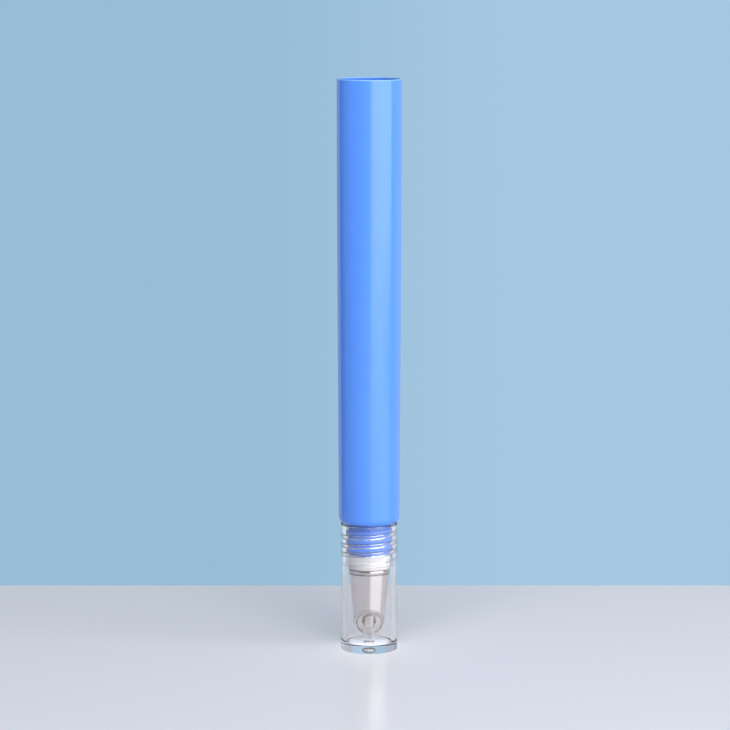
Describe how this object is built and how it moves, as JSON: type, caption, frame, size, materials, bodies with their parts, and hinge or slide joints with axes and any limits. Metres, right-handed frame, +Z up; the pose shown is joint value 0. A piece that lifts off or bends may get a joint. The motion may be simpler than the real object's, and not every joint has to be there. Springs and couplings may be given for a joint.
{
  "type": "squeeze tube with metal applicator tip and screw cap",
  "caption": "Slim soft squeeze tube, open at its filling end, with a slanted metal massage tip under a clear screw cap that it stands on.",
  "frame": {"origin": "centre of the cap's closed end, on the surface that the tube stands on", "axes": "+Z up along the tube to its open end, -Y towards the front, where the metal tip's slanted face looks"},
  "size_m": [0.02, 0.019, 0.1785],
  "materials": {
    "blue_plastic": "soft satin gloss",
    "white_plastic": "smooth",
    "satin_metal": "satin plated",
    "clear_plastic": "clear, polished"
  },
  "bodies": {
    "cap": {"clear_cap": "clear_plastic"},
    "rising_insert": {"tip_insert": "white_plastic"},
    "tube": {"tube_sleeve": "blue_plastic", "tube_head": "blue_plastic", "metal_tip": "satin_metal"}
  },
  "joints": [
    {"name": "tube_lift", "type": "slide", "parent": "cap", "child": "rising_insert", "axis": [0, 0, 1], "range_m": [0, 0.03851]},
    {"name": "tube_turn", "type": "hinge", "parent": "rising_insert", "child": "tube", "pos_m": [0, 0, 0], "axis": [0, 0, 1], "range_deg": [0, 5040]}
  ],
  "couplings": [
    {"joint": "tube_lift", "follows": "tube_turn", "m_per_rad": 0.00043768}
  ]
}
